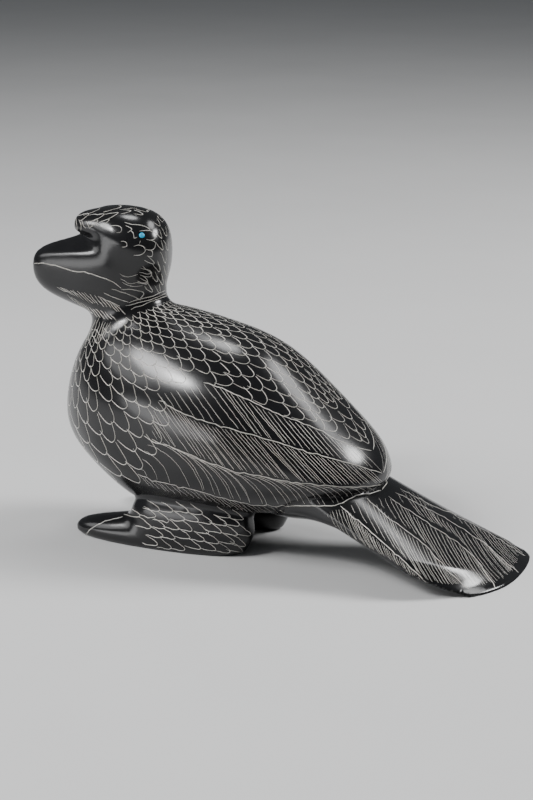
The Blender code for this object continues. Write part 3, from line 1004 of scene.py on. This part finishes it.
def lay_normals(mesh, line):
    """Gives the polished faces the form's own way of facing, so that they shine smoothly."""
    points = np.empty(len(mesh.vertices) * 3)
    mesh.vertices.foreach_get("co", points)
    points = points.reshape(-1, 3)
    way = facing(points)
    corner = np.empty(len(mesh.loops), int)
    mesh.loops.foreach_get("vertex_index", corner)
    count = np.empty(len(mesh.polygons), int)
    mesh.polygons.foreach_get("loop_total", count)
    own = np.empty(len(mesh.polygons) * 3)
    mesh.polygons.foreach_get("normal", own)
    own = own.reshape(-1, 3)
    finish = np.empty(len(mesh.polygons), int)
    mesh.polygons.foreach_get("material_index", finish)
    face = np.repeat(np.arange(len(count)), count)
    given = way[corner]
    own = own[face]
    off = (given * own).sum(1) < SAME_WAY
    bare = off | (finish[face] == line) | (points[corner][:, 2] < 1e-6) & (own[:, 2] < -0.99)
    given[bare] = own[bare]
    mesh.polygons.foreach_set("use_smooth", np.ones(len(count), bool))
    mesh.normals_split_custom_set(given.tolist())


def clouding_group():
    """A slow cloudy mask, shared by the stones."""
    tree = bpy.data.node_groups.new("stone clouding", "ShaderNodeTree")
    given = sockets(tree, (("Scale", "Float"), ("Low", "Float"), ("High", "Float")), (("Value", "Float"),))
    place = node(tree, "ShaderNodeTexCoord")
    noise = node(tree, "ShaderNodeTexNoise", {"Vector": place.outputs["Object"], "Scale": given["Scale"],
                                              "Detail": 4.0, "Roughness": 0.6})
    spread = node(tree, "ShaderNodeMapRange",
                  {"Value": noise.outputs[0], "From Min": 0.32, "From Max": 0.68,
                   "To Min": given["Low"], "To Max": given["High"]})
    node(tree, "NodeGroupOutput", {0: spread.outputs[0]})
    return tree


def clouds(tree, scale, low, high):
    group = bpy.data.node_groups.get("stone clouding") or clouding_group()
    made = node(tree, "ShaderNodeGroup", {}, node_tree=group)
    for name, value in (("Scale", scale), ("Low", low), ("High", high)):
        made.inputs[name].default_value = value
    return made.outputs[0]


def finish_of(name, colour, fade, cloud_scale, rough, rough_scale):
    """A finish whose colour goes cloudily to fade times itself, with a polish that varies."""
    made = bpy.data.materials.get(name)
    if made:
        return made
    made = bpy.data.materials.new(name)
    made.use_nodes = True
    tree = made.node_tree
    shader = tree.nodes["Principled BSDF"]
    mix = node(tree, "ShaderNodeMix", {"Factor": clouds(tree, cloud_scale, 0.0, 1.0)}, data_type="RGBA")
    mix.inputs["A"].default_value = (*colour, 1.0)
    mix.inputs["B"].default_value = (*(fade * part for part in colour), 1.0)
    tree.links.new(mix.outputs["Result"], shader.inputs["Base Color"])
    tree.links.new(clouds(tree, rough_scale, *rough), shader.inputs["Roughness"])
    return made


def marble(looks):
    return finish_of("polished_marble", looks.stone_colour, 1.8, 60.0, (0.17, 0.23), 25.0)


def scratched(looks):
    return finish_of("scratched_line", looks.line_colour, 0.75, 400.0, (0.8, 0.95), 300.0)


def turquoise(looks):
    return finish_of("turquoise_inlay", looks.inlay_colour, 0.6, 1400.0, (0.3, 0.4), 500.0)


class CROW_OT_stone(bpy.types.Operator):
    """Lay the stone's fine skin, cut its soles flat and drill the eye seats"""

    bl_idname = "crow.stone"
    bl_label = "Carve the stone"

    def execute(self, context):
        looks = context.scene.crow_looks
        step = looks.skin_step
        points, faces = skin(stone, LOW - 4 * step, HIGH + 4 * step, step)
        mesh = bpy.data.meshes.new("stone_skin")
        mesh.from_pydata((points * 1000).tolist(), [], faces.tolist())
        bird = add("crow_carving", mesh, marble(looks))
        thin = bird.modifiers.new("thin the skin", "DECIMATE")
        thin.ratio = min(1.0, looks.skin_triangles / (2 * len(faces)))
        mesh = plain(bird)
        thinned_points = np.empty(len(mesh.vertices) * 3)
        mesh.vertices.foreach_get("co", thinned_points)
        thinned_points = settle(stone, thinned_points.reshape(-1, 3) / 1000, 0.0003, 4) * 1000
        mesh.vertices.foreach_set("co", thinned_points.ravel())

        def ground_box(shape):
            sink = Matrix.Translation((0, 0, -GROUND_BOX[2] / 2))
            bmesh.ops.create_cube(shape, size=1.0, matrix=sink @ Matrix.Diagonal((*GROUND_BOX, 1)))

        cutters = [add("ground_cutter", shape_mesh("ground", ground_box), marble(looks))]
        for name, spot in eye_seats(1000):

            def seat_drill(shape, spot=spot):
                bmesh.ops.create_cone(shape, cap_ends=True, segments=32, radius1=SEAT_RADIUS,
                                      radius2=SEAT_RADIUS, depth=SEAT_DEPTH,
                                      matrix=spot @ Matrix.Translation((0, 0, SEAT_OUT)))

            cutters.append(add(name + "_drill", shape_mesh("drill", seat_drill), marble(looks)))
        for cutter in cutters:
            cut(bird, cutter)
        plain(bird)
        for cutter in cutters:
            bpy.data.objects.remove(cutter)
        if len(bird.data.polygons) < 1000:
            raise RuntimeError("the stone's skin came out empty")
        return {"FINISHED"}


class CROW_OT_feathers(bpy.types.Operator):
    """Scratch the feather pattern into the stone and polish its faces"""

    bl_idname = "crow.feathers"
    bl_label = "Scratch the feathers"

    def execute(self, context):
        looks = context.scene.crow_looks
        bird = bpy.data.objects["crow_carving"]
        self.scratch(looks, bird)
        bird.data.transform(Matrix.Scale(0.001, 4))
        line = bird.data.materials.find("scratched_line")
        lay_normals(bird.data, line)
        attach(bird, "root")
        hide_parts("crow_stone")
        return {"FINISHED"}

    def scratch(self, looks, bird):
        pale = scratched(looks)
        tree = groove_tree()
        place = {s.name: s.identifier for s in tree.interface.items_tree if s.in_out == "INPUT"}
        cutters = []
        for k, strokes in enumerate(in_sets(draw_feathers(looks), STROKE_ROOM)):
            cutter = add(f"wedges_{k}", stroke_mesh("strokes", strokes))
            modifier = cutter.modifiers.new("wedges", "NODES")
            modifier.node_group = tree
            for name, value in (("Width", looks.line_width * 1000),
                                ("Depth", looks.line_depth * 1000),
                                ("Stand", looks.line_depth * 1000 * STAND_SHARE), ("Finish", pale)):
                modifier[place[name]] = value
            plain(cutter)
            cut(bird, cutter)
            cutters.append(cutter)
        plain(bird)
        for cutter in cutters:
            bpy.data.objects.remove(cutter)


class CROW_OT_eyes(bpy.types.Operator):
    """Set the two domed turquoise eyes in their seats"""

    bl_idname = "crow.eyes"
    bl_label = "Set the eyes"

    def execute(self, context):
        looks = context.scene.crow_looks
        finish = turquoise(looks)
        for name, spot in eye_seats():

            def cabochon(shape, spot=spot):
                bmesh.ops.create_uvsphere(shape, u_segments=32, v_segments=16, radius=1.0)
                for vert in shape.verts:
                    high = max(vert.co.z, -EYE_BELOW) * EYE_DOME - EYE_SUNK
                    vert.co = spot @ Vector((*(vert.co.xy * EYE_RADIUS), high))

            eye = add(name + "_inlay", shape_mesh(name, cabochon), finish)
            eye.data.polygons.foreach_set("use_smooth", [True] * len(eye.data.polygons))
            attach(eye, "root")
            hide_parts(name)
        return {"FINISHED"}


class CROW_OT_stage(bpy.types.Operator):
    """Set up the floor, the soft lights and the camera"""

    bl_idname = "crow.stage"
    bl_label = "Set the stage"

    def execute(self, context):
        looks = context.scene.crow_looks
        finish = finish_of("studio_floor", looks.floor_colour, 0.97, 6.0, (0.6, 0.7), 8.0)

        def plane(shape):
            bmesh.ops.create_grid(shape, x_segments=1, y_segments=1, size=5.0)

        floor = add("floor", shape_mesh("floor", plane), finish)
        world = bpy.data.worlds.new("studio")
        world.use_nodes = True
        back = world.node_tree.nodes["Background"]
        back.inputs["Color"].default_value = AIR_COLOUR
        back.inputs["Strength"].default_value = AIR_STRENGTH
        context.scene.world = world
        middle = Vector(LAMPS_AIM)
        for name, spot, size, power in LAMPS:
            data = bpy.data.lights.new(name, "AREA")
            data.shape = "ELLIPSE"
            data.size, data.size_y = size
            data.energy = power
            lamp = bpy.data.objects.new(name, data)
            context.scene.collection.objects.link(lamp)
            lamp.location = spot
            lamp.rotation_euler = (middle - lamp.location).to_track_quat("-Z", "Y").to_euler()
        data = bpy.data.cameras.new("camera")
        data.sensor_fit = "VERTICAL"
        data.sensor_height = SENSOR
        data.lens = FOCAL / SHEET[1] * SENSOR
        camera = bpy.data.objects.new("camera", data)
        context.scene.collection.objects.link(camera)
        camera.location = Vector(EYE_POINT)
        camera.rotation_euler = Vector(SIGHT).to_track_quat("-Z", "Y").to_euler()
        context.scene.camera = camera
        return {"FINISHED"}


class CROW_PT_panel(bpy.types.Panel):
    """Lists the carving's sizes, colours and steps"""

    bl_label = "Crow carving"
    bl_idname = "CROW_PT_panel"
    bl_space_type = "VIEW_3D"
    bl_region_type = "UI"
    bl_category = "Crow"

    def draw(self, context):
        column = self.layout.column()
        looks = context.scene.crow_looks
        for name in CarvingLooks.__annotations__:
            column.prop(looks, name)
        for operator in OPERATORS:
            column.operator(operator.bl_idname)


OPERATORS = (CROW_OT_stone, CROW_OT_feathers, CROW_OT_eyes, CROW_OT_stage)
CLASSES = (CarvingLooks, *OPERATORS, CROW_PT_panel)


def register():
    for kind in CLASSES:
        bpy.utils.register_class(kind)
    bpy.types.Scene.crow_looks = PointerProperty(type=CarvingLooks)


def unregister():
    del bpy.types.Scene.crow_looks
    for kind in reversed(CLASSES):
        bpy.utils.unregister_class(kind)


def main():
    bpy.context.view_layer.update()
    register()
    bpy.ops.crow.stone()
    bpy.ops.crow.feathers()
    bpy.ops.crow.eyes()
    bpy.ops.crow.stage()


if __name__ == "__main__":
    main()
